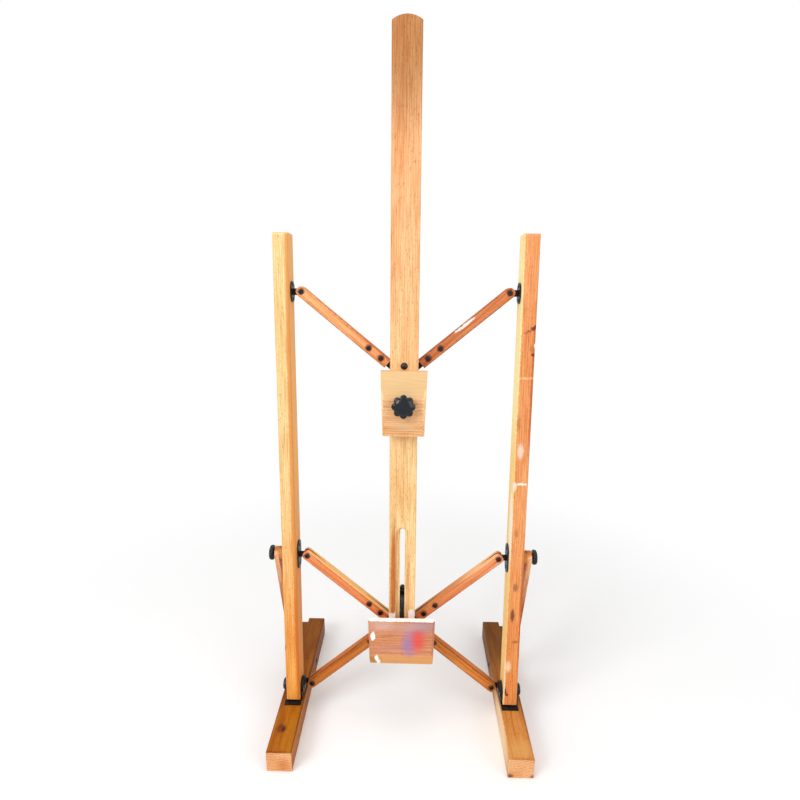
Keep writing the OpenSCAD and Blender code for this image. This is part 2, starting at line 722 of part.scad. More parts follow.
// Plate that closes the holder behind the mast.
module holder_plate() color(steel) panel() translate([0, 0, holder_at]) difference() {
    slab(mast_back + seat, plate_t - 0.5) round_rect([-holder_foot_w / 2 + 1, groove_h + 2],
                                                     [holder_foot_w / 2 - 1, groove_h + cheek_h - 2], 4);
    holder_screw_places() bar_y(screw_d + run, -1, plate_t + 2);
}

module holder_screws() color(steel) panel() translate([0, 0, holder_at]) holder_screw_places()
    rotate([0, 0, 180]) screw_y(screw_d, 2 * screw_d, 0.5 - plate_t, plate_t + 11);

// Star knob in front, with the stem that presses on the mast.
module holder_knob() color(plastic) panel() translate([0, 0, holder_at + holder_knob_h]) {
    translate([0, holder_front - seat, 0]) rotate([90, 0, 0]) star(star_d);
    bar_y(bolt_d, holder_front - 1, groove_d + lip_t + 1);
}

// Lower tray: the same section turned over, screwed to the foot of the mast.
module tray() color(beech) panel() difference() {
    intersection() {
        cheek(-tray_w / 2, tray_w) translate([0, tray_at + tray_h]) mirror([0, 1])
            translate([seat, 0]) holder_side(tray_h, tray_face);
        translate([0, 0, tray_at]) slab(holder_front - 1, 2 * tray_h)
            holder_front_view(tray_foot_w, tray_w, tray_h);
    }
    translate([0, 0, tray_at]) corner_cuts(holder_front + seat, tray_foot_w, tray_w, tray_h);
    tray_screw_places() bar_y(screw_d + run, -mast_t - 15, 16);
}

for (hand = [-1, 1]) {
    side = hand < 0 ? "left" : "right";
    foot(hand);
    foot_bracket(hand);
    foot_screws(hand);
    brace_pivot(hand);
    brace(hand);
    post(hand);
    hinge(hand, upper_hinge_h, upper_plate_h);
    hinge(hand, middle_hinge_h, middle_plate_h);
    lower_hinge(hand);
    hinge_screws(hand);
    tilt_bolt(hand);
    brace_bolt(hand);
    brace_spacer(hand);
    brace_knob(hand);
    arm(hand, upper_in, 1, arm_v);
    strap(hand, upper_in, 1, arm_v, run);
    arm_screws(hand, upper_in, 1, arm_v);
    arm(hand, middle_in, 1, arm_v);
    strap(hand, middle_in, 1, arm_v, loose);
    arm_screws(hand, middle_in, 1, arm_v);
    arm(hand, lower_in, -1, low_arm_v);
    strap(hand, lower_in, -1, low_arm_v, hand < 0 ? run : loose);
    arm_screws(hand, lower_in, -1, low_arm_v);
}
mast();
upper_bracket();
middle_bracket();
mast_screws();
mast_bolt();
tray();
carriage_plate();
carriage_runners();
carriage_knob();
holder_block();
holder_plate();
holder_screws();
holder_knob();
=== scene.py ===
"""Finishes a folding wooden studio easel: beech, black steel, knobs, old paint, and a pale stage."""

import json
import math

import bmesh
import bpy
from bpy.props import FloatProperty, FloatVectorProperty, IntProperty, PointerProperty
from mathutils import Matrix, Vector


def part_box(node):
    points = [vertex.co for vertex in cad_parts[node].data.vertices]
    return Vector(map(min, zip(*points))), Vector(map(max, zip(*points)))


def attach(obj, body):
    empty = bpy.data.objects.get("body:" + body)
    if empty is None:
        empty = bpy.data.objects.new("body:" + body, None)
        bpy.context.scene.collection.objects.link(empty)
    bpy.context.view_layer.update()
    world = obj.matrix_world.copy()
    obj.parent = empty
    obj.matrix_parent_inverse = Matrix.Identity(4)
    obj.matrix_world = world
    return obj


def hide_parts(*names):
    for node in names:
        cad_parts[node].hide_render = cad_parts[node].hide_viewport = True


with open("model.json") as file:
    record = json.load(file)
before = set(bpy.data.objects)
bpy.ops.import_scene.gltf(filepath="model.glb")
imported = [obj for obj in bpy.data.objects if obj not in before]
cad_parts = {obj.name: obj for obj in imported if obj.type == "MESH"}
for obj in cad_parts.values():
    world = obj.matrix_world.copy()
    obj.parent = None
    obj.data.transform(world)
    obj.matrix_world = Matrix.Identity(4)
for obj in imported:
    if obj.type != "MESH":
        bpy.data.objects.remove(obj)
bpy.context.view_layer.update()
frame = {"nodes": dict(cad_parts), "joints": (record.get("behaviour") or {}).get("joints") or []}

bl_info = {
    "name": "Studio Easel",
    "version": (1, 0, 0),
    "blender": (4, 5, 0),
    "location": "3D View > Sidebar > Easel",
    "description": "Finishes a folding wooden studio easel and sets its stage",
    "category": "Add Mesh",
}

MM = 0.001
# Each side, and its direction along X.
SIDES = (("left", -1), ("right", 1))
LEVELS = ("upper", "middle", "lower")
SCREW_STEEL = "Oiled screw steel"
# Height of a screw's head over the face that it holds.
HEAD_H = 1.6 * MM
JOINTS = {joint["name"]: joint for joint in frame["joints"]}
NODES = frame["nodes"]

# The upper frame leans back: its own axes are X across, Y through it and Z up the mast.
THROUGH = Vector(JOINTS["fold"]["axis"])
LEAN = math.atan2(-THROUGH.z, THROUGH.y)
TILT_AT = Vector(JOINTS["tilt_left"]["pos_m"])
FRAME_AXES = Matrix.Translation((0, TILT_AT.y, TILT_AT.z)) @ Matrix.Rotation(-LEAN, 4, "X")
ACROSS = FRAME_AXES.to_3x3() @ Vector((1, 0, 0))
UP = FRAME_AXES.to_3x3() @ Vector((0, 0, 1))

# The camera stands this far from the middle between the tilt bolts, in millimetres, with its height from the
# floor, and turns, looks down and leans by these degrees.
CAMERA_AT = (17.2, -1062.0, 1080.5)
CAMERA_YAW, CAMERA_PITCH, CAMERA_ROLL = -1.337, 14.943, -0.364
# Lamps: name, the setting with their power, width, place and what they face, in metres.
LAMPS = (("Key", "key", 1.6, (-2.1, -2.1, 2.4), (0, 0, 0.7)),
         ("Fill", "fill", 2.2, (2.3, -1.8, 1.6), (0, 0, 0.6)),
         ("Top", "top", 2.0, (-0.2, -0.3, 3.3), (0, 0, 0)))
# The floor's half width, and the distances between which it runs out into white, in metres.
FLOOR_REACH = 14
FLOOR_FADE = (0.45, 1.5)


def linear(code):
    """An sRGB hex colour as linear RGBA."""
    parts = [int(code[i:i + 2], 16) / 255 for i in (1, 3, 5)]
    return [c / 12.92 if c <= 0.04045 else ((c + 0.055) / 1.055) ** 2.4 for c in parts] + [1.0]


def add(tree, kind, inputs=None, **settings):
    """Adds a node with its settings, and sets or links its inputs by name or number."""
    node = tree.nodes.new(kind)
    for key, value in settings.items():
        setattr(node, key, value)
    for key, value in (inputs or {}).items():
        if isinstance(value, bpy.types.NodeSocket):
            tree.links.new(value, node.inputs[key])
        else:
            node.inputs[key].default_value = value
    return node


# ---- the sizes and colours a user would change ----

class EaselWood(bpy.types.PropertyGroup):
    """Grain and sheen of the oiled beech."""
    ring: FloatProperty(name="Ring spacing", description="Distance between growth rings",
                        subtype="DISTANCE", default=4.4 * MM)
    fibre: FloatProperty(name="Fibre width", description="Width of a bundle of fibres",
                         subtype="DISTANCE", default=2.1 * MM)
    roughness: FloatProperty(name="Roughness", description="Sheen of the oiled face", subtype="FACTOR",
                             min=0, max=1, default=0.5)


class EaselFittings(bpy.types.PropertyGroup):
    """Black steel and black plastic fittings."""
    steel: FloatVectorProperty(name="Steel", description="Colour of the blackened steel",
                               subtype="COLOR", size=4, default=linear("#1A1A1F"))
    plastic: FloatVectorProperty(name="Knobs", description="Colour of the moulded knobs",
                                 subtype="COLOR", size=4, default=linear("#070C10"))
    lobes: IntProperty(name="Lobes", description="Lobes of a star knob", default=8, min=5, max=12)
    flutes: IntProperty(name="Flutes", description="Flutes of a brace knob", default=16, min=8, max=30)


class EaselStage(bpy.types.PropertyGroup):
    """Lamps, backdrop and camera."""
    key: FloatProperty(name="Key light", description="Power of the main soft light, in watts", default=54)
    fill: FloatProperty(name="Fill light", description="Power of the light from the right, in watts", default=27)
    top: FloatProperty(name="Top light", description="Power of the light from above, in watts", default=30)
    glow: FloatProperty(name="Floor glow", description="What the floor adds for the eye alone", default=0.1)
    sky: FloatProperty(name="Sky", description="Strength of the light from all round", default=0.48)
    lens: FloatProperty(name="Lens", description="Focal length on a 36 mm wide sensor", default=23.86)


# ---- tones and old marks of the wood, and the light and shade painted on it ----

# Colours of each piece at its low and its high end: at a foot's rear and front end, at an arm's mast end and
# post end, and at the left and the right end of the holder and the tray.
# the feet are darker wood, and their rear ends are painted darker still as painted shade
FOOT_TONES = {"left": ("#8C5208", "#B97412"), "right": ("#80520C", "#DD9A50")}
# the left post's front is painted paler towards its top, as a painted highlight
POST_TONES = {"left": ("#F8A850", "#FBDEA0"), "right": ("#F2A05C", "#F4AC72")}
ARM_TONES = {"upper_arm_left": ("#F6AC74", "#FFC68C"), "upper_arm_right": ("#D08252", "#DE8E5C"),
             "middle_arm_left": ("#F09058", "#F8A672"), "middle_arm_right": ("#E8945C", "#F2A26E"),
             "lower_arm_left": ("#D08236", "#D6883A"), "lower_arm_right": ("#D88A3E", "#E69648")}
# the braces are painted darker at their lower ends as painted shade, and paler at their tops as painted light
BRACE_TONES = ("#C47C34", "#F6C294")
SPACER_TONES = ("#D89A58", "#D89A58")
MAST_TONES = ("#FFE2A6", "#FAC08C")
HOLDER_TONES = ("#F2C48E", "#F6C492")
TRAY_TONES = ("#DE9C72", "#DC9874")
# Tint of the ends cut across the grain, and the lighter one of the feet's ends.
END_TINT = "*#E0BC90"
FOOT_ENDS = "#FFCC96"

# Saw cuts of an arm, at the post and at the mast, as centre and half-sizes in its own axes, and their painted
# shade: near black inside them.
SAW_CUTS = (((135, 0, 0), (60, 60, 2.1)), ((-140, 0, 0), (81, 60, 2.1)))
SAW_CUT_SHADE = "#20130C"

# Marks: centre and half-sizes in millimetres in the piece's own axes (X along the grain, from its middle),
# colour (with * it only darkens), strength and softness.
POST_MARKS = {
    "left": [
        # the inner side and the front's inner edge: painted shade, deeper than the front, as the inner side faces
        # away from the main light, and deeper still low down
        ((0, 17, 0), (900, 3.5, 60), "#F6B05C", 0.9, 0.3),
        ((60, 12.5, -25), (620, 4.6, 6), "#DA8C44", 0.85, 0.45),
        ((-470, 16, -10), (380, 4.5, 60), "#D98222", 0.8, 0.6),
        # the inner edge low down, darker still with painted shade, and the middle of the front low down, more
        # golden
        ((-420, 12, -25), (160, 4, 6), "*#E8A868", 0.6, 0.6),
        ((-470, 0, -25), (70, 9, 5), "#FFC868", 0.35, 0.8),
        # a small chip on the outer edge
        ((-402, -15, -25), (7, 2.2, 4), "#7A4A28", 0.7, 0.5),
    ],
    "right": [
        # the inner side: painted light, paler than the front, as it faces the main light
        ((0, -17, 0), (900, 3.5, 60), "#FFD880", 0.85, 0.3),
        ((330, -17, 0), (220, 3.5, 60), "#FFF0B0", 0.8, 0.4),
        # the outer edge, darker high up
        ((225, 15, -25), (150, 4, 6), "*#C88C58", 0.75, 0.6),
        # a gouge near the top
        ((346, 10, -25), (4, 6, 4), "#6A3420", 0.9, 0.35),
        ((350, 15, -25), (4, 4, 4), "#55281A", 0.9, 0.4),
        ((341, 2, -25), (2, 5, 4), "#8A5030", 0.85, 0.5),
        ((337, -5, -25), (2, 4, 4), "#8A5030", 0.7, 0.6),
        # chips on the outer edge
        ((310, 15.5, -25), (6, 2.2, 5), "#FFF6E4", 0.95, 0.3),
        ((305, 9, -25), (8, 4, 4), "#A86A30", 0.6, 0.6),
        ((292, 12, -25), (4, 3.2, 4), "#5E3018", 0.9, 0.4),
        # a faint line across, stains and a spot of paint
        ((242, 0, -25), (2.2, 18, 4), "#FBD9A8", 0.45, 0.5),
        ((144, -11, -25), (15, 3.6, 4), "#A0622E", 0.55, 0.7),
        ((160, 4, -25), (26, 3, 4), "#D8773C", 0.5, 0.8),
        ((82, -3.8, -25), (16, 6.5, 4), "#FCD7C0", 0.85, 0.5),
        # a line of white paint across, and its end at the inner edge
        ((8, 2, -25), (2.4, 12, 4), "#FFF6E2", 0.95, 0.3),
        ((2, -13, -25), (10, 4, 5), "#FDEBD4", 0.8, 0.5),
        # stains, a knot and a worn spot
        ((-107, -4.8, -25), (9, 3.4, 4), "#8A4E2C", 0.5, 0.7),
        ((-238, 0, -25), (9, 5.5, 4), "#8D5E4A", 0.75, 0.5),
        ((-307, -3.7, -25), (16, 4.6, 4), "#75402F", 0.9, 0.4),
        ((-374, 5, -25), (4, 7, 4), "#965526", 0.65, 0.5),
        ((-438, -8, -25), (13, 6, 4), "#FDDCB0", 0.75, 0.6),
        # a dark nick at the foot
        ((-504, -12, -25), (10, 2.4, 4), "#44200F", 0.95, 0.35),
        ((-512, -8, -25), (4, 3, 4), "#44200F", 0.9, 0.4),
        # white paint on the inner side, and the two edges low down
        ((-105, -17, -12), (104, 5, 15), "#FDF3E2", 0.9, 0.3),
        ((-300, 15.5, -25), (150, 3.6, 6), "*#C87C40", 0.75, 0.5),
        ((-480, -16, -24), (60, 3, 4), "#FDE8C8", 0.7, 0.5),
    ],
}
FOOT_MARKS = {
    "left": [
        # a knot
        ((162, -3, 26), (11, 11, 4), "*#C09258", 0.8, 0.5),
        ((163, 2, 26), (7, 5, 4), "#43260E", 0.95, 0.4),
        ((155, -6, 26), (6, 3, 4), "#5E3814", 0.8, 0.5),
        # a stain, and darker lines along the edges
        ((60, 12, 27), (46, 7, 4), "*#C08A50", 0.6, 0.8),
        ((0, 32, 26), (230, 3, 4), "*#A07040", 0.7, 0.5),
        ((0, -22.5, 26), (230, 3, 4), "*#A07040", 0.7, 0.5),
        ((222, 0, 26), (4, 30, 3), "*#A87848", 0.6, 0.6),
        # the front end, deeper on one side
        ((221, 14, -8), (4, 14, 16), "*#E0A870", 0.7, 0.7),
    ],
    "right": [
        # the lower corners of the front end, darker
        ((221, -28, -22), (9, 6, 7), "*#8A5A30", 0.85, 0.6),
        ((221, 22, -22), (9, 6, 6), "*#9A6A40", 0.8, 0.6),
        # the inner side, painted paler as painted light, as it faces the main light, and the paler front of the
        # top
        ((120, -34, 2), (96, 5, 44), "#FFE0B0", 0.85, 0.5),
        ((200, 0, 26), (24, 24, 5), "#E2A862", 0.6, 0.8),
        # darker along the edges
        ((80, 24.5, 22), (150, 5.4, 14), "*#A0704A", 0.85, 0.5),
        ((222, 0, 26), (3, 30, 3), "*#B48458", 0.5, 0.6),
    ],
}
MAST_MARKS = [
    # the top, greyed by hands, and a painted highlight along the right edge
    ((640, 0, 0), (170, 60, 40), "*#C8BEAC", 1.0, 0.5),
    ((0, 31, -10), (700, 1.6, 3), "#FCE2B4", 0.6, 0.6),
    # painted shade beside the slot, deep on its left and faint on its right
    ((-490, -20, -10), (130, 7, 9), "*#C4804C", 0.95, 0.5),
    ((-500, 14, -10), (90, 4, 9), "*#ECB480", 0.7, 0.6),
    # white paint that ran down beside the slot, over the tray
    ((-583, -25, -10), (9, 12, 6), "#FFFFFF", 0.9, 0.25),
    ((-577, -15, -10), (6, 4, 6), "#FFFFFF", 0.8, 0.3),
    ((-577, 21, -10), (13, 9, 6), "#FFFFFF", 1.0, 0.2),
]
HOLDER_MARKS = [
    # the slope, the face round the knob, the two edges and the lower face
    ((0, -12, 42), (90, 26, 33), "#E0BE8A", 0.8, 0.25),
    ((0, -29, -24), (40, 5, 30), "#EDB58A", 0.6, 0.5),
    ((-46, -27, -10), (3.4, 9, 90), "#FFE6B8", 0.7, 0.3),
    ((46, -27, -10), (5.5, 9, 90), "#FFE0A8", 0.7, 0.3),
    ((0, -29, -50), (36, 5, 12), "#DFC094", 0.6, 0.6),
]
TRAY_MARKS = [
    # the lower slope and its darker corner
    ((0, -10, -50), (400, 24, 25), "#EFAA5A", 0.7, 0.12),
    ((-64, -12, -44), (16, 16, 15), "#A8701F", 0.8, 0.7),
    # a thin violet and rose wash of paint
    ((46, -17, 46), (28, 6, 12), "#A58FA0", 0.65, 0.8),
    ((16, -17, 42), (34, 6, 12), "#CDA39C", 0.6, 0.8),
    ((-44, -17, 47), (26, 6, 11), "#DDBAB0", 0.6, 0.8),
    ((-20, -17, -8), (40, 6, 8), "#C98A7C", 0.5, 0.8),
    ((38, -17, 30), (16, 6, 9), "#B8607A", 0.5, 0.9),
    # a violet and a red spot of paint
    ((17, -17, 2), (14, 6, 26), "#9A7CB0", 0.75, 0.8),
    ((37, -17, 10), (14, 6, 22), "#E8504C", 0.85, 0.7),
    # white paint on the upper edge, at the left edge and low down
    ((0, -12, 61.5), (400, 14, 4.2), "#FFFEFA", 1.0, 0.15),
    ((-64, -17, 21), (4.6, 5, 11), "#FFFFFB", 1.0, 0.2),
    ((-56, -14, -38), (4.4, 26, 13), "#FFFFFB", 1.0, 0.2),
    ((-52, -14, -54), (4.8, 26, 14), "#FFFFFB", 1.0, 0.2),
]


# ---- places ----

def own_axes(origin, along, up):
    """Axes of a piece: X along its grain, Z as near to up as it can be."""
    x = Vector(along).normalized()
    y = Vector(up).cross(x).normalized()
    z = x.cross(y)
    axes = Matrix((x, y, z)).transposed().to_4x4()
    axes.translation = Vector(origin)
    return axes


def middle(node):
    """Middle of a CAD node's box."""
    low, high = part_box(node)
    return (Vector(low) + Vector(high)) / 2


def islands(node, axes):
    """The box of each separate solid of a CAD node, in the given axes."""
    mesh = NODES[node].data
    turn = axes.inverted()
    points = [turn @ v.co for v in mesh.vertices]
    keys = {}
    parent = list(range(len(points)))

    def root(i):
        while parent[i] != i:
            parent[i] = parent[parent[i]]
            i = parent[i]
        return i

    for i, p in enumerate(points):
        key = tuple(round(c, 6) for c in p)
        parent[root(i)] = root(keys.setdefault(key, i))
    for face in mesh.polygons:
        first = root(face.vertices[0])
        for i in face.vertices[1:]:
            parent[root(i)] = first
            first = root(first)
    groups = {}
    for i, p in enumerate(points):
        groups.setdefault(root(i), []).append(p)
    boxes = []
    for group in groups.values():
        low = Vector([min(p[k] for p in group) for k in range(3)])
        high = Vector([max(p[k] for p in group) for k in range(3)])
        boxes.append((low, high))
    return boxes


def islands_box(node, axes):
    """The whole box of a CAD node in the given axes."""
    boxes = islands(node, axes)
    low = Vector([min(b[0][k] for b in boxes) for k in range(3)])
    high = Vector([max(b[1][k] for b in boxes) for k in range(3)])
    return low, high


def solid_middles(node):
    """The middle of each separate solid of a CAD node."""
    return [(low + high) / 2 for low, high in islands(node, Matrix.Identity(4))]


def centre_line(low, high):
    """Where the middle of a box lies across its Z, at height 0."""
    return Vector(((low.x + high.x) / 2, (low.y + high.y) / 2, 0))


def outwards(hand):
    """Axes on the upper frame whose Z points out at a side."""
    return FRAME_AXES @ Matrix.Rotation(math.radians(90 * hand), 4, "Y")


# ---- materials ----

def new_material(name):
    """An empty material with its output node."""
    material = bpy.data.materials.new(name)
    material.use_nodes = True
    material.node_tree.nodes.clear()
    return material, material.node_tree


def close(tree, shader):
    """Links a shader to the output of its material."""
    add(tree, "ShaderNodeOutputMaterial", {"Surface": shader.outputs[0]})


def place_in(tree, axes):
    """Coordinates in millimetres in a piece's own axes."""
    turn = axes.inverted()
    coords = add(tree, "ShaderNodeTexCoord")
    mapping = add(tree, "ShaderNodeMapping",
                  {"Vector": coords.outputs["Object"], "Location": turn.translation / MM,
                   "Rotation": turn.to_euler("XYZ"), "Scale": (1 / MM, 1 / MM, 1 / MM)})
    return mapping.outputs[0]


def stretched_noise(tree, place, size, detail, seed):
    """Noise whose spots are about as long as size says along each axis, in millimetres.

    seed moves it, so that no two pieces show the same part of it.
    """
    scaled = add(tree, "ShaderNodeVectorMath",
                 {0: place, 1: [1 / s for s in size], 2: (seed, 1.7 * seed, 2.3 * seed)},
                 operation="MULTIPLY_ADD")
    return add(tree, "ShaderNodeTexNoise", {"Vector": scaled.outputs[0], "Scale": 1.0, "Detail": detail,
                                            "Roughness": 0.55}).outputs["Fac"]


def spot(tree, place, centre, size, soft):
    """1 inside an ellipsoid at centre with half-axes size, in millimetres, fading over soft of them."""
    off = add(tree, "ShaderNodeVectorMath", {0: place, 1: centre}, operation="SUBTRACT")
    unit = add(tree, "ShaderNodeVectorMath", {0: off.outputs[0], 1: size}, operation="DIVIDE")
    far = add(tree, "ShaderNodeVectorMath", {0: unit.outputs[0]}, operation="LENGTH")
    return add(tree, "ShaderNodeMapRange",
               {"Value": far.outputs["Value"], "From Min": 1 + soft, "From Max": 1 - soft},
               interpolation_type="SMOOTHSTEP").outputs[0]


def tinted(tree, colour, code, share):
    """Takes a colour to another one, or darkens it by a tint that starts with *, as far as share says."""
    mode = "MULTIPLY" if code[0] == "*" else "MIX"
    return add(tree, "ShaderNodeMix", {0: share, 6: colour, 7: linear(code.lstrip("*"))}, data_type="RGBA",
               blend_type=mode).outputs[2]


def oiled_beech(name, axes, tones, reach, heart, wander, lines, seed, marks=(), ends=END_TINT, cuts=()):
    """Oiled beech, sawn and planed: growth rings about a heart line, fine fibres, flecks, old marks and painted
    light and shade.

    tones are its colours at the two places along its grain that reach gives. The rings are a solid pattern,
    so they run as lines along a face and as arcs on an end: heart is how far off their middle lies, wander how
    far they stray and lines how strong they are. marks are (centre, half-sizes, colour, strength, softness)
    in the piece's own axes, in millimetres, for old marks and for painted light and shade. ends tints the faces
    cut across the grain, and cuts are (centre, half-sizes) of saw cuts, painted near black inside as painted
    shade.
    """
    wood = bpy.context.scene.easel_wood
    material, tree = new_material(name)
    place = place_in(tree, axes)
    fibre_mm = wood.fibre / MM
    stray = stretched_noise(tree, place, (380, 60, 60), 2.0, seed)
    broad = stretched_noise(tree, place, (190, 38, 38), 2.0, seed + 5.1)
    # bundles of fibres and pores, drawn wider than real ones, so that they show from a step or two away
    fibres = stretched_noise(tree, place, (60, fibre_mm, fibre_mm), 3.0, seed + 2.2)
    flecks = stretched_noise(tree, place, (8, 1.9, 1.9), 1.0, seed + 8.4)

    flat = add(tree, "ShaderNodeVectorMath", {0: place, 1: (0, 1, 1), 2: heart}, operation="MULTIPLY_ADD")
    radius = add(tree, "ShaderNodeVectorMath", {0: flat.outputs[0]}, operation="LENGTH")
    shifted = add(tree, "ShaderNodeMath", {0: stray, 1: float(wander), 2: radius.outputs["Value"]},
                  operation="MULTIPLY_ADD")
    turns = add(tree, "ShaderNodeMath", {0: shifted.outputs[0], 1: wood.ring / MM}, operation="DIVIDE")
    phase = add(tree, "ShaderNodeMath", {0: turns.outputs[0]}, operation="FRACT")
    rings = add(tree, "ShaderNodeValToRGB", {"Fac": phase.outputs[0]})
    ramp = rings.color_ramp
    ramp.elements[0].color = (0, 0, 0, 1)
    ramp.elements[1].color = (0, 0, 0, 1)
    for at, value in ((0.45, 0.12), (0.82, 1.0)):
        ramp.elements.new(at).color = (value, value, value, 1)

    along = add(tree, "ShaderNodeSeparateXYZ", {0: place})
    end = add(tree, "ShaderNodeMapRange",
              {"Value": along.outputs[0], "From Min": float(reach[0]), "From Max": float(reach[1])},
              interpolation_type="SMOOTHSTEP")
    colour = add(tree, "ShaderNodeMix", {0: end.outputs[0], 6: linear(tones[0]), 7: linear(tones[1])},
                 data_type="RGBA").outputs[2]
    # an end cut across the grain drinks more oil, and its rings stand out
    facing = add(tree, "ShaderNodeTexCoord")
    across = add(tree, "ShaderNodeVectorMath", {0: facing.outputs["Normal"],
                                                1: axes.to_3x3() @ Vector((1, 0, 0))}, operation="DOT_PRODUCT")
    size = add(tree, "ShaderNodeMath", {0: across.outputs["Value"]}, operation="ABSOLUTE")
    cut = add(tree, "ShaderNodeMapRange", {"Value": size.outputs[0], "From Min": 0.75, "From Max": 0.95})
    colour = tinted(tree, colour, ends, cut.outputs[0])
    # broad clouds, then the rings, the fibres and the dark flecks, each a darker tint of the wood
    blotch = add(tree, "ShaderNodeMapRange", {"Value": broad, "From Min": 0.42, "From Max": 0.68, "To Max": 0.5})
    colour = tinted(tree, colour, "*#EBC59C", blotch.outputs[0])
    drawn = add(tree, "ShaderNodeMath", {0: cut.outputs[0], 1: 0.35, 2: lines}, operation="MULTIPLY_ADD")
    grain = add(tree, "ShaderNodeMath", {0: rings.outputs["Color"], 1: drawn.outputs[0]}, operation="MULTIPLY")
    colour = tinted(tree, colour, "*#D6AA7C", grain.outputs[0])
    strand = add(tree, "ShaderNodeMapRange", {"Value": fibres, "From Min": 0.44, "From Max": 0.66, "To Max": 0.62})
    colour = tinted(tree, colour, "*#DCB286", strand.outputs[0])
    fleck = add(tree, "ShaderNodeMapRange", {"Value": flecks, "From Min": 0.60, "From Max": 0.72, "To Max": 0.42})
    colour = tinted(tree, colour, "*#A9703E", fleck.outputs[0])

    if marks:
        # paint, stains, knots and painted light and shade have ragged outlines, a few millimetres wide
        ragged = add(tree, "ShaderNodeTexNoise", {"Vector": place, "Scale": 0.2, "Detail": 3.0})
        offset = add(tree, "ShaderNodeVectorMath", {0: ragged.outputs["Color"], 1: (0.5, 0.5, 0.5)},
                     operation="SUBTRACT")
        torn = add(tree, "ShaderNodeVectorMath", {0: offset.outputs[0], 1: (9, 4, 4), 2: place},
                   operation="MULTIPLY_ADD").outputs[0]
        for centre, size, code, strength, soft in marks:
            inside = spot(tree, torn, centre, size, soft)
            share = add(tree, "ShaderNodeMath", {0: inside, 1: strength}, operation="MULTIPLY")
            colour = tinted(tree, colour, code, share.outputs[0])

    # painted shade: each saw cut is painted near black inside
    for centre, size in cuts:
        colour = tinted(tree, colour, SAW_CUT_SHADE, spot(tree, place, centre, size, 0.15))

    rough = add(tree, "ShaderNodeMapRange", {"Value": fibres, "From Min": 0.3, "From Max": 0.7,
                                             "To Min": wood.roughness - 0.08, "To Max": wood.roughness + 0.1})
    height = add(tree, "ShaderNodeMath", {0: fibres, 1: 0.8, 2: rings.outputs["Color"]}, operation="MULTIPLY_ADD")
    height = add(tree, "ShaderNodeMath", {0: fleck.outputs[0], 1: -1.5, 2: height.outputs[0]},
                 operation="MULTIPLY_ADD")
    bump = add(tree, "ShaderNodeBump", {"Height": height.outputs[0], "Strength": 0.4, "Distance": 0.15 * MM})
    # a thin film of oil and old varnish gives beech its soft second highlight
    close(tree, add(tree, "ShaderNodeBsdfPrincipled",
                    {"Base Color": colour, "Roughness": rough.outputs[0], "Normal": bump.outputs[0],
                     "IOR": 1.5, "Specular IOR Level": 0.16, "Coat Weight": 0.03, "Coat Roughness": 0.3}))
    return material


def black_steel():
    """Pressed steel plate, blackened and oiled: near black, satin, with rubbed lighter patches."""
    material, tree = new_material("Blackened steel")
    place = place_in(tree, Matrix.Identity(4))
    rub = stretched_noise(tree, place, (9, 9, 9), 3.0, 3.0)
    worn = add(tree, "ShaderNodeMapRange", {"Value": rub, "From Min": 0.56, "From Max": 0.74, "To Max": 0.55})
    colour = add(tree, "ShaderNodeMix", {0: worn.outputs[0], 6: list(bpy.context.scene.easel_fittings.steel),
                                         7: linear("#4A4643")}, data_type="RGBA")
    rough = add(tree, "ShaderNodeMapRange", {"Value": rub, "From Min": 0.3, "From Max": 0.7, "To Min": 0.36,
                                             "To Max": 0.5})
    bump = add(tree, "ShaderNodeBump", {"Height": rub, "Strength": 0.2, "Distance": 0.1 * MM})
    close(tree, add(tree, "ShaderNodeBsdfPrincipled",
                    {"Base Color": colour.outputs[2], "Metallic": 0.55, "Roughness": rough.outputs[0],
                     "Normal": bump.outputs[0]}))
    return material


def oiled_screw_steel():
    """Hardened screws and bolts, blackened and oiled: deep black with a bright glint on each rounded head."""
    material, tree = new_material(SCREW_STEEL)
    place = place_in(tree, Matrix.Identity(4))
    wear = stretched_noise(tree, place, (4, 4, 4), 2.0, 4.0)
    rubbed = add(tree, "ShaderNodeMapRange", {"Value": wear, "From Min": 0.55, "From Max": 0.75, "To Max": 0.6})
    colour = tinted(tree, list(bpy.context.scene.easel_fittings.steel), "#4E2E20", rubbed.outputs[0])
    rough = add(tree, "ShaderNodeMapRange", {"Value": wear, "From Min": 0.3, "From Max": 0.7, "To Min": 0.2,
                                             "To Max": 0.34})
    bump = add(tree, "ShaderNodeBump", {"Height": wear, "Strength": 0.15, "Distance": 0.06 * MM})
    close(tree, add(tree, "ShaderNodeBsdfPrincipled",
                    {"Base Color": colour, "Metallic": 0.35, "Roughness": rough.outputs[0],
                     "Normal": bump.outputs[0]}))
    return material


def moulded_phenolic():
    """Phenolic resin, moulded in a polished tool: blue-black and glossy, a little dulled by hands."""
    material, tree = new_material("Moulded phenolic")
    place = place_in(tree, Matrix.Identity(4))
    haze = stretched_noise(tree, place, (14, 14, 14), 3.0, 1.0)
    colour = add(tree, "ShaderNodeMix", {0: haze, 6: list(bpy.context.scene.easel_fittings.plastic),
                                         7: linear("#101A20")}, data_type="RGBA")
    rough = add(tree, "ShaderNodeMapRange", {"Value": haze, "From Min": 0.35, "From Max": 0.7, "To Min": 0.1,
                                             "To Max": 0.26})
    fine = stretched_noise(tree, place, (2.5, 2.5, 2.5), 2.0, 6.0)
    bump = add(tree, "ShaderNodeBump", {"Height": fine, "Strength": 0.08, "Distance": 0.08 * MM})
    close(tree, add(tree, "ShaderNodeBsdfPrincipled",
                    {"Base Color": colour.outputs[2], "Roughness": rough.outputs[0],
                     "Normal": bump.outputs[0], "IOR": 1.5, "Specular IOR Level": 0.35}))
    return material


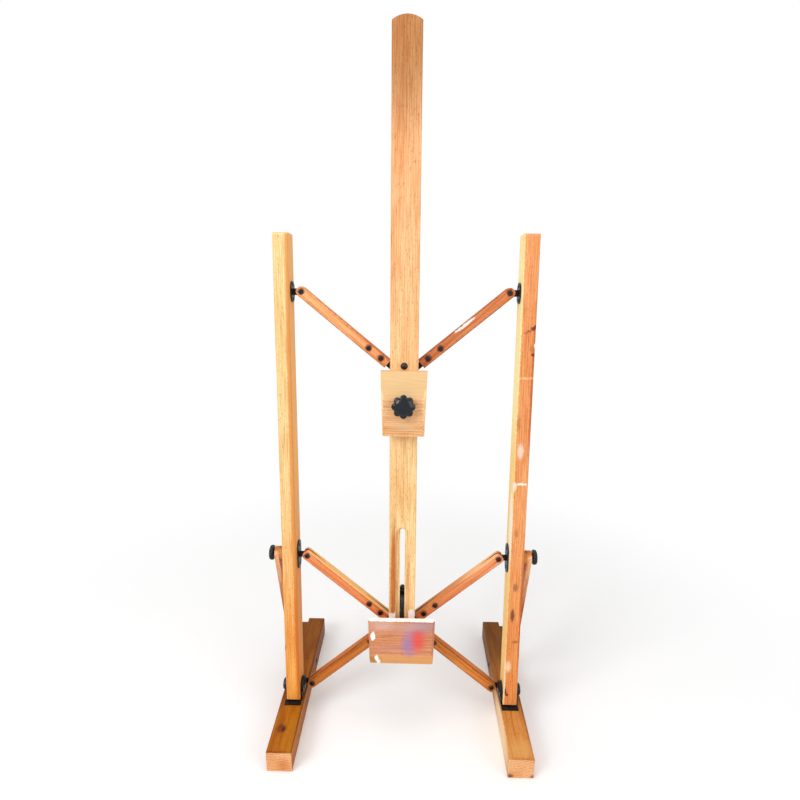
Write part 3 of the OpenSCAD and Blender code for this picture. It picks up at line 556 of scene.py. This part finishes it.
def matt_nylon():
    """Nylon runners: black, matt, with fine scratches up and down the slot."""
    material, tree = new_material("Matt nylon")
    place = place_in(tree, FRAME_AXES)
    scratch = stretched_noise(tree, place, (0.8, 0.8, 14), 2.0, 2.0)
    colour = add(tree, "ShaderNodeMix", {0: scratch, 6: linear("#101012"), 7: linear("#2C2C2E")}, data_type="RGBA")
    bump = add(tree, "ShaderNodeBump", {"Height": scratch, "Strength": 0.2, "Distance": 0.08 * MM})
    close(tree, add(tree, "ShaderNodeBsdfPrincipled",
                    {"Base Color": colour.outputs[2], "Roughness": 0.55, "Normal": bump.outputs[0]}))
    return material


def looked_at(tree):
    """1 where the eye, a mirror or glass looks at the backdrop, and 0 where it lights the easel."""
    seen = add(tree, "ShaderNodeLightPath")
    shine = add(tree, "ShaderNodeMath", {0: seen.outputs["Is Camera Ray"], 1: seen.outputs["Is Glossy Ray"]},
                operation="MAXIMUM")
    return add(tree, "ShaderNodeMath", {0: shine.outputs[0], 1: seen.outputs["Is Transmission Ray"]},
               operation="MAXIMUM").outputs[0]


def dress(node, material):
    """Gives a CAD node its finish."""
    mesh = NODES[node].data
    mesh.materials.clear()
    mesh.materials.append(material)


# ---- meshes ----

def new_piece(name, mesh, material, body, node):
    """Puts a finished mesh in the scene, on its body, in place of a CAD node."""
    mesh.name = name
    mesh.materials.clear()
    mesh.materials.append(material)
    piece = bpy.data.objects.new(name, mesh)
    bpy.context.scene.collection.objects.link(piece)
    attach(piece, body)
    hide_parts(node)
    return piece


def turned(rings, segments, shape):
    """A closed mesh through rings of (height, radius, depth of the lobes), capped at both ends.

    shape(angle) runs from 0 on a lobe to 1 in a valley.
    """
    bm = bmesh.new()
    rows = []
    for height, radius, depth in rings:
        row = []
        for k in range(segments):
            angle = 2 * math.pi * k / segments
            r = radius - depth * shape(angle)
            row.append(bm.verts.new((r * math.cos(angle), r * math.sin(angle), height)))
        rows.append(row)
    for low, high in zip(rows, rows[1:]):
        for k in range(segments):
            n = (k + 1) % segments
            bm.faces.new((low[k], low[n], high[n], high[k]))
    bm.faces.new(rows[0][::-1])
    bm.faces.new(rows[-1])
    return bm


def to_mesh(bm, name, matrix, smooth=35):
    """Turns a bmesh into a mesh at its place, smooth but for its sharp edges."""
    bm.transform(matrix)
    bmesh.ops.recalc_face_normals(bm, faces=bm.faces)
    mesh = bpy.data.meshes.new(name)
    bm.to_mesh(mesh)
    bm.free()
    mesh.shade_smooth()
    mesh.set_sharp_from_angle(angle=math.radians(smooth))
    return mesh


def star_knob(name, node, facing, material):
    """A star knob: round lobes, shallow valleys, a domed crown with a rim, on a short neck.

    facing is -1 on the easel's front and 1 on its back. The knob's body has the name of its node.
    """
    fittings = bpy.context.scene.easel_fittings
    axes = FRAME_AXES @ Matrix.Rotation(math.radians(-90 * facing), 4, "X")
    low, high = islands_box(node, axes)
    radius = (high.x - low.x) / 2
    centre = centre_line(low, high)
    base = knob_base(node, axes, radius)
    tall = high.z - base
    half = math.pi / fittings.lobes
    # shares of the knob's radius: a valley's depth, where a lobe's middle lies, its radius, and the stem's
    valley, out, round_off, stem = 0.19, 0.66, 0.34, 0.16
    # a valley is flat where a lobe would fall further than this share of its drop
    flat = 0.9

    def drop(turn):
        """How far the round lobe falls back from its tip, at an angle from its middle."""
        return 1 - out * math.cos(turn) - math.sqrt(round_off ** 2 - (out * math.sin(turn)) ** 2)

    def lobe(angle):
        return min(drop((angle + half) % (2 * half) - half) / drop(half), flat) / flat

    # height as a share of the head, radius as a share of the knob's, and how much of the valley's depth
    rings = [(0, 0.50, 0), (0.26, 0.50, 0), (0.29, 0.55, 0), (0.31, 0.86, 0.55), (0.34, 0.95, 0.85),
             (0.40, 1.0, 1.0), (0.62, 1.0, 1.0), (0.72, 0.975, 0.95), (0.78, 0.91, 0.75), (0.82, 0.82, 0.4),
             (0.84, 0.72, 0.05), (0.90, 0.66, 0), (0.955, 0.52, 0), (0.985, 0.34, 0), (1.0, 0.12, 0)]
    bm = turned([(base + h * tall, r * radius, d * valley * radius) for h, r, d in rings], 96, lobe)
    # the stem runs a millimetre into the head
    end = base + 1 * MM
    rod = bmesh.ops.create_cone(bm, cap_ends=True, segments=32, radius1=stem * radius, radius2=stem * radius,
                                depth=end - low.z)
    bmesh.ops.translate(bm, verts=rod["verts"], vec=(0, 0, (low.z + end) / 2))
    return new_piece(name, to_mesh(bm, name, axes @ Matrix.Translation(centre)), material, node,
                     node)


def knob_base(node, axes, radius):
    """Height of the back of a knob's head: the lowest point further out than its stem."""
    turn = axes.inverted()
    points = [turn @ v.co for v in NODES[node].data.vertices]
    x = (min(p.x for p in points) + max(p.x for p in points)) / 2
    y = (min(p.y for p in points) + max(p.y for p in points)) / 2
    past_stem = 0.45 * radius
    return min(p.z for p in points if math.hypot(p.x - x, p.y - y) > past_stem)


def brace_knob(side, hand, material):
    """A round knob with fine flutes, a rolled rim and a shallow dish in its face."""
    fittings = bpy.context.scene.easel_fittings
    node = "brace_knob_" + side
    axes = outwards(hand)
    low, high = islands_box(node, axes)
    radius = (high.y - low.y) / 2
    centre = centre_line(low, high)
    tall = high.z - low.z
    flute_depth = 0.08 * radius

    def flute(angle):
        return (0.5 - 0.5 * math.cos(fittings.flutes * angle)) ** 2

    # height as a share of the knob's, radius as a share, and how much of the flutes' depth
    rings = [(0, 0.52, 0), (0.2, 0.52, 0), (0.23, 0.9, 0.3), (0.28, 0.97, 0.9), (0.36, 1.0, 1.0),
             (0.66, 1.0, 1.0), (0.76, 0.97, 0.9), (0.83, 0.9, 0.35), (0.87, 0.82, 0), (0.86, 0.7, 0),
             (0.88, 0.6, 0), (0.94, 0.42, 0), (0.98, 0.22, 0), (1.0, 0.06, 0)]
    bm = turned([(low.z + h * tall, r * radius, d * flute_depth) for h, r, d in rings], 128, flute)
    name = "fluted_knob_" + side
    return new_piece(name, to_mesh(bm, name, axes @ Matrix.Translation(centre)), material, node,
                     node)


def tilt_cap(side, hand, material):
    """A tilt bolt: a flat head inside, the shank, and a full round cap outside."""
    node = "tilt_bolt_" + side
    axes = outwards(hand)
    low, high = islands_box(node, axes)
    centre = centre_line(low, high)
    # (height, radius) in millimetres: up from the inner head, and down from the top of the cap
    inside = [(0, 8.4), (0.5, 9), (1.7, 9), (2, 8.8), (2, 5)]
    outside = [(8, 5), (8, 12.6), (7.4, 13.2), (3.4, 13.2), (2.1, 12.7), (1, 11.4), (0.35, 9.2), (0.08, 6),
               (0, 2)]
    rings = [(low.z + up * MM, radius * MM, 0) for up, radius in inside]
    rings += [(high.z - down * MM, radius * MM, 0) for down, radius in outside]
    mesh = to_mesh(turned(rings, 48, lambda angle: 0), "tilt_cap", axes @ Matrix.Translation(centre))
    return new_piece("tilt_cap_" + side, mesh, material, "post_" + side, node)


def socket_screw():
    """A pan head with a rounded rim and a hexagon socket, one unit across, on a short shank."""
    bm = bmesh.new()
    segments = 24
    sixth = math.pi / 3
    # (radius, height) of the head's outline, and of the corners of the socket's mouth and floor
    outline = [(0.5, 0.0), (0.5, 0.06), (0.47, 0.115), (0.4, 0.15), (0.3, 0.165)]
    socket = [(0.25, 0.165), (0.22, 0.02)]
    rows = []
    for radius, height in outline + socket:
        row = []
        for k in range(segments):
            a = 2 * math.pi * k / segments
            r = radius
            if (radius, height) in socket:
                off_side = (a + sixth / 2) % sixth - sixth / 2
                r = radius * math.cos(sixth / 2) / math.cos(off_side)
            row.append(bm.verts.new((r * math.cos(a), r * math.sin(a), height)))
        rows.append(row)
    for low, high in zip(rows, rows[1:]):
        for k in range(segments):
            n = (k + 1) % segments
            bm.faces.new((low[k], low[n], high[n], high[k]))
    bm.faces.new(rows[-1])
    bm.faces.new(rows[0][::-1])
    shank = bmesh.ops.create_cone(bm, cap_ends=True, segments=16, radius1=0.2, radius2=0.2, depth=0.9)
    bmesh.ops.translate(bm, verts=shank["verts"], vec=(0, 0, -0.44))
    mesh = to_mesh(bm, "socket_screw", Matrix.Identity(4), 40)
    template = bpy.data.objects.new("socket_screw", mesh)
    bpy.context.scene.collection.objects.link(template)
    return template


def screw_tree(template, material):
    """Geometry nodes: a screw on each point, as wide as the point's size and turned to its aim."""
    tree = bpy.data.node_groups.new("Screws on points", "GeometryNodeTree")
    ends = tree.interface
    ends.new_socket("Geometry", in_out="INPUT", socket_type="NodeSocketGeometry")
    scale = ends.new_socket("Width factor", in_out="INPUT", socket_type="NodeSocketFloat")
    scale.default_value = 1.0
    ends.new_socket("Geometry", in_out="OUTPUT", socket_type="NodeSocketGeometry")
    start = add(tree, "NodeGroupInput")
    head = add(tree, "GeometryNodeObjectInfo", {"Object": template})
    size = add(tree, "GeometryNodeInputNamedAttribute", {"Name": "size"}, data_type="FLOAT")
    aim = add(tree, "GeometryNodeInputNamedAttribute", {"Name": "aim"}, data_type="FLOAT_VECTOR")
    spin = add(tree, "GeometryNodeInputNamedAttribute", {"Name": "spin"}, data_type="FLOAT")
    width = add(tree, "ShaderNodeMath", {0: size.outputs["Attribute"], 1: start.outputs["Width factor"]},
                operation="MULTIPLY")
    turn = add(tree, "FunctionNodeAlignRotationToVector", {"Vector": aim.outputs["Attribute"]}, axis="Z")
    own = add(tree, "FunctionNodeAxisAngleToRotation", {"Axis": (0, 0, 1), "Angle": spin.outputs["Attribute"]})
    both = add(tree, "FunctionNodeRotateRotation", {"Rotation": turn.outputs[0], "Rotate By": own.outputs[0]},
               rotation_space="LOCAL")
    put = add(tree, "GeometryNodeInstanceOnPoints",
              {"Points": start.outputs["Geometry"], "Instance": head.outputs["Geometry"],
               "Rotation": both.outputs[0], "Scale": width.outputs[0]})
    real = add(tree, "GeometryNodeRealizeInstances", {"Geometry": put.outputs[0]})
    coat = add(tree, "GeometryNodeSetMaterial", {"Geometry": real.outputs[0], "Material": material})
    add(tree, "NodeGroupOutput", {"Geometry": coat.outputs[0]})
    return tree


def screws(name, tree, heads, material, body, node):
    """Runs the screw tree on heads, each (place, aim, width, spin), and keeps the result as a mesh."""
    points = bpy.data.meshes.new(name)
    points.from_pydata([h[0] for h in heads], [], [])
    for key, kind, values in (("aim", "FLOAT_VECTOR", [c for h in heads for c in h[1]]),
                              ("size", "FLOAT", [h[2] for h in heads]), ("spin", "FLOAT", [h[3] for h in heads])):
        layer = points.attributes.new(key, kind, "POINT")
        layer.data.foreach_set("vector" if kind == "FLOAT_VECTOR" else "value", values)
    cloud = bpy.data.objects.new(name, points)
    bpy.context.scene.collection.objects.link(cloud)
    modifier = cloud.modifiers.new("Screws", "NODES")
    modifier.node_group = tree
    shown = cloud.evaluated_get(bpy.context.evaluated_depsgraph_get())
    mesh = bpy.data.meshes.new_from_object(shown)
    cloud.modifiers.remove(modifier)
    bpy.data.objects.remove(cloud)
    for attribute in ("aim", "size", "spin"):
        if attribute in mesh.attributes:
            mesh.attributes.remove(mesh.attributes[attribute])
    return new_piece(name, mesh, material, body, node)


# ---- the arms ----

def arm_pivot(level, side):
    """Name of the joint at the post end of an arm."""
    if level == "upper":
        return "fold" if side == "left" else "post_turn_right"
    return level + "_arm_turn_" + side


def dark_edge_line(edge):
    """A darker line along a front edge of an arm: edge is 1 or -1."""
    return (0, 11 * edge, -11), (160, 1.7, 4), "*#A46A42", 0.75, 0.5


def arm_marks(level, side, hand, axes):
    """Marks of an arm: darker lines along its edges, painted light and painted shade on its upper side, and rings
    round its screws.
    """
    marks = [dark_edge_line(hand)]
    if (level, side) == ("middle", "left"):
        # painted light along the upper side
        marks.append(((0, 12, 0), (220, 3, 40), "#FFD284", 0.65, 0.3))
    elif (level, side) == ("middle", "right"):
        # painted light on the upper side towards the post, and painted shade on it towards the mast
        marks += [((80, -12, 0), (70, 3, 40), "#FFCC94", 0.6, 0.5),
                  ((-70, -12, 0), (90, 3, 40), "#C4803E", 0.6, 0.5)]
    else:
        marks.append(dark_edge_line(-hand))
    # oil and rust have crept out from under each screw
    marks += [((axes.inverted() @ head) / MM, (8, 8, 30), "*#8E5838", 0.8, 0.25)
              for head in solid_middles(level + "_arm_screws_" + side)]
    if (level, side) == ("upper", "right"):
        # white paint
        marks += [((6, -7, -11), (22, 3, 4), "#FDF2EA", 0.95, 0.3),
                  ((-16, -8, -11), (9, 2.4, 4), "#FDF2EA", 0.8, 0.4)]
    return marks


# ---- operators, one for each group of like pieces ----

class EASEL_OT_wood(bpy.types.Operator):
    """Gives the feet, posts, braces, arms, mast and holders their oiled beech"""
    bl_idname = "easel.wood"
    bl_label = "Oiled beech"

    def execute(self, context):
        for side, hand in SIDES:
            foot, post, brace, spacer = (part + "_" + side for part in ("foot", "post", "brace", "brace_spacer"))
            dress(foot, oiled_beech(
                "Beech foot " + side, own_axes(middle(foot), (0, -1, 0), (0, 0, 1)), FOOT_TONES[side],
                reach=(-190, 190), heart=(0, 20 * hand, 260), wander=20, lines=0.6, seed=3.0 + hand,
                marks=FOOT_MARKS[side], ends=FOOT_ENDS))
            dress(post, oiled_beech(
                "Beech post " + side, own_axes(middle(post), UP, THROUGH), POST_TONES[side],
                reach=(-500, 110), heart=(0, 240 * hand, 90), wander=16, lines=0.36, seed=11.0 + hand,
                marks=POST_MARKS[side]))
            low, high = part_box(brace)
            slope = (0, low[1] - high[1], high[2] - low[2])
            dress(brace, oiled_beech(
                "Beech brace " + side, own_axes(middle(brace), slope, (hand, 0, 0)), BRACE_TONES,
                reach=(20, 175), heart=(0, 200, 60), wander=12, lines=0.5, seed=17.0 + hand))
            dress(spacer, oiled_beech(
                "Beech spacer " + side, own_axes(middle(spacer), UP, THROUGH), SPACER_TONES,
                reach=(-20, 20), heart=(0, 60, 60), wander=8, lines=0.5, seed=21.0 + hand))
            for k, level in enumerate(LEVELS):
                arm = level + "_arm_" + side
                outer = Vector(JOINTS[arm_pivot(level, side)]["pos_m"])
                axes = own_axes(middle(arm), outer - middle(arm), THROUGH)
                dress(arm, oiled_beech(
                    "Beech arm " + level + " " + side, axes, ARM_TONES[arm],
                    reach=(-110, 110), heart=(0, 25 + 9 * k, 120), wander=12, lines=0.55,
                    seed=27.0 + 3 * k + hand, marks=arm_marks(level, side, hand, axes), cuts=SAW_CUTS))
        dress("mast", oiled_beech(
            "Beech mast", own_axes(middle("mast"), UP, THROUGH), MAST_TONES,
            reach=(-520, 520), heart=(0, 330, 120), wander=14, lines=0.24, seed=41.0, marks=MAST_MARKS))
        dress("holder_block", oiled_beech(
            "Beech holder", own_axes(middle("holder_block"), (1, 0, 0), UP), HOLDER_TONES,
            reach=(-60, 60), heart=(0, 60, 90), wander=40, lines=0.6, seed=45.0, marks=HOLDER_MARKS))
        dress("tray", oiled_beech(
            "Beech tray", own_axes(middle("tray"), (1, 0, 0), UP), TRAY_TONES,
            reach=(-70, 70), heart=(0, 90, 60), wander=24, lines=0.5, seed=49.0, marks=TRAY_MARKS))
        return {"FINISHED"}


class EASEL_OT_fittings(bpy.types.Operator):
    """Blackens the steel plates, straps, brackets and bolts, and makes the runners nylon"""
    bl_idname = "easel.fittings"
    bl_label = "Steel fittings"

    def execute(self, context):
        plate_steel, screw_steel = black_steel(), oiled_screw_steel()
        for node in NODES:
            if node.startswith(("foot_bracket", "upper_hinge", "middle_hinge", "lower_hinge", "upper_strap",
                                "middle_strap", "lower_strap", "upper_bracket", "middle_bracket",
                                "carriage_plate", "holder_plate")):
                dress(node, plate_steel)
            elif "_screws" in node or "_bolt" in node or node.startswith("brace_pivot"):
                dress(node, screw_steel)
        dress("carriage_runners", matt_nylon())
        return {"FINISHED"}


class EASEL_OT_knobs(bpy.types.Operator):
    """Models the star knobs, the fluted brace knobs and the caps of the tilt bolts"""
    bl_idname = "easel.knobs"
    bl_label = "Knobs"

    def execute(self, context):
        resin = moulded_phenolic()
        star_knob("star_knob", "holder_knob", -1, resin)
        star_knob("clamp_knob", "carriage_knob", 1, resin)
        for side, hand in SIDES:
            brace_knob(side, hand, resin)
            tilt_cap(side, hand, bpy.data.materials[SCREW_STEEL])
        return {"FINISHED"}


class EASEL_OT_screws(bpy.types.Operator):
    """Sets the socket-head screws in their holes, with Geometry Nodes"""
    bl_idname = "easel.screws"
    bl_label = "Screws"

    def execute(self, context):
        steel = bpy.data.materials[SCREW_STEEL]
        template = socket_screw()
        tree = screw_tree(template, steel)
        sets = [("mast_screws", "mast", THROUGH), ("holder_screws", "holder", THROUGH)]
        for side, hand in SIDES:
            sets += [(level + "_arm_screws_" + side, level + "_arm_" + side, -THROUGH) for level in LEVELS]
            sets.append(("hinge_screws_" + side, "post_" + side, -hand * ACROSS))
        for node, body, aim in sets:
            # Z of a screw's own axes is the way its head faces, so the head is at the top of its box
            axes = aim.to_track_quat("Z", "Y").to_matrix().to_4x4()
            heads = []
            for k, (low, high) in enumerate(islands(node, axes)):
                width = min(high.x - low.x, high.y - low.y)
                at = centre_line(low, high) + Vector((0, 0, high.z - HEAD_H))
                spin = 0.7 * k + len(node)
                heads.append((axes @ at, aim, width, spin))
            screws(node.replace("_screws", "_fixings"), tree, heads, steel, body, node)
        bpy.data.objects.remove(template)
        return {"FINISHED"}


class EASEL_OT_stage(bpy.types.Operator):
    """Sets the floor, the backdrop, the lamps and the camera"""
    bl_idname = "easel.stage"
    bl_label = "Stage"

    def execute(self, context):
        stage = context.scene.easel_stage
        bm = bmesh.new()
        bmesh.ops.create_grid(bm, x_segments=1, y_segments=1, size=FLOOR_REACH)
        mesh = to_mesh(bm, "studio_floor", Matrix.Identity(4))
        material, tree = new_material("Pale floor paper")
        # plain paper keeps the shadow; a little glow for the eye alone takes its lit part to white
        paper = add(tree, "ShaderNodeBsdfDiffuse", {"Color": linear("#F4F4F4")})
        glow = add(tree, "ShaderNodeEmission", {"Color": linear("#FFFFFF"), "Strength": stage.glow})
        lit = add(tree, "ShaderNodeAddShader", {0: paper.outputs[0], 1: glow.outputs[0]})
        # the floor runs out into white a step away from the easel, so that no edge shows
        white = add(tree, "ShaderNodeEmission", {"Color": linear("#FFFFFF"), "Strength": 1.0})
        coords = add(tree, "ShaderNodeTexCoord")
        away = add(tree, "ShaderNodeVectorMath", {0: coords.outputs["Object"]}, operation="LENGTH")
        far = add(tree, "ShaderNodeMapRange",
                  {"Value": away.outputs["Value"], "From Min": FLOOR_FADE[0], "From Max": FLOOR_FADE[1]},
                  interpolation_type="SMOOTHERSTEP")
        shown = add(tree, "ShaderNodeMixShader", {0: far.outputs[0], 1: lit.outputs[0], 2: white.outputs[0]})
        close(tree, add(tree, "ShaderNodeMixShader", {0: looked_at(tree), 1: paper.outputs[0],
                                                      2: shown.outputs[0]}))
        mesh.materials.append(material)
        floor = bpy.data.objects.new("studio_floor", mesh)
        context.scene.collection.objects.link(floor)

        world = bpy.data.worlds.new("Studio")
        world.use_nodes = True
        tree = world.node_tree
        tree.nodes.clear()
        light = add(tree, "ShaderNodeBackground", {"Color": linear("#FFFFFF"), "Strength": stage.sky})
        white = add(tree, "ShaderNodeBackground", {"Color": linear("#FFFFFF"), "Strength": 1.0})
        both = add(tree, "ShaderNodeMixShader", {0: looked_at(tree), 1: light.outputs[0], 2: white.outputs[0]})
        add(tree, "ShaderNodeOutputWorld", {"Surface": both.outputs[0]})
        context.scene.world = world

        for name, power, size, at, to in LAMPS:
            lamp = bpy.data.lights.new(name, "AREA")
            lamp.energy = getattr(stage, power)
            lamp.size = size
            holder = bpy.data.objects.new(name, lamp)
            holder.location = at
            holder.rotation_euler = (Vector(to) - Vector(at)).to_track_quat("-Z", "Y").to_euler()
            context.scene.collection.objects.link(holder)

        camera = bpy.data.cameras.new("Camera")
        camera.lens = stage.lens
        camera.sensor_width = 36
        camera.clip_start = 0.05
        camera.clip_end = 40
        eye = bpy.data.objects.new("Camera", camera)
        yaw, pitch, roll = (math.radians(angle) for angle in (CAMERA_YAW, CAMERA_PITCH, CAMERA_ROLL))
        ahead = Vector((math.sin(yaw) * math.cos(pitch), math.cos(yaw) * math.cos(pitch), -math.sin(pitch)))
        right = ahead.cross(Vector((0, 0, 1))).normalized()
        down = ahead.cross(right)
        across = math.cos(roll) * right + math.sin(roll) * down
        above = across.cross(ahead)
        turn = Matrix((across, above, -ahead)).transposed().to_4x4()
        turn.translation = Vector(CAMERA_AT) * MM + Vector((0, TILT_AT.y, 0))
        eye.matrix_world = turn
        context.scene.collection.objects.link(eye)
        context.scene.camera = eye
        context.scene.view_settings.view_transform = "Standard"
        return {"FINISHED"}


class EASEL_PT_panel(bpy.types.Panel):
    """The easel's steps, in the order they are made"""
    bl_idname = "EASEL_PT_panel"
    bl_label = "Studio Easel"
    bl_space_type = "VIEW_3D"
    bl_region_type = "UI"
    bl_category = "Easel"

    def draw(self, context):
        scene = context.scene
        for group, names in ((scene.easel_wood, ("ring", "fibre", "roughness")),
                             (scene.easel_fittings, ("steel", "plastic", "lobes", "flutes")),
                             (scene.easel_stage, ("key", "fill", "top", "sky", "glow", "lens"))):
            box = self.layout.box()
            for name in names:
                box.prop(group, name)
        for step in STEPS:
            self.layout.operator("easel." + step)


STEPS = ("stage", "wood", "fittings", "knobs", "screws")
CLASSES = (EaselWood, EaselFittings, EaselStage, EASEL_OT_stage, EASEL_OT_wood, EASEL_OT_fittings,
           EASEL_OT_knobs, EASEL_OT_screws, EASEL_PT_panel)


def register():
    """Registers the add-on's classes and its settings."""
    for cls in CLASSES:
        bpy.utils.register_class(cls)
    bpy.types.Scene.easel_wood = PointerProperty(type=EaselWood)
    bpy.types.Scene.easel_fittings = PointerProperty(type=EaselFittings)
    bpy.types.Scene.easel_stage = PointerProperty(type=EaselStage)


def unregister():
    """Removes what register added."""
    del bpy.types.Scene.easel_wood
    del bpy.types.Scene.easel_fittings
    del bpy.types.Scene.easel_stage
    for cls in reversed(CLASSES):
        bpy.utils.unregister_class(cls)


def main():
    """Makes the whole easel."""
    register()
    for step in STEPS:
        getattr(bpy.ops.easel, step)()


if __name__ == "__main__":
    main()
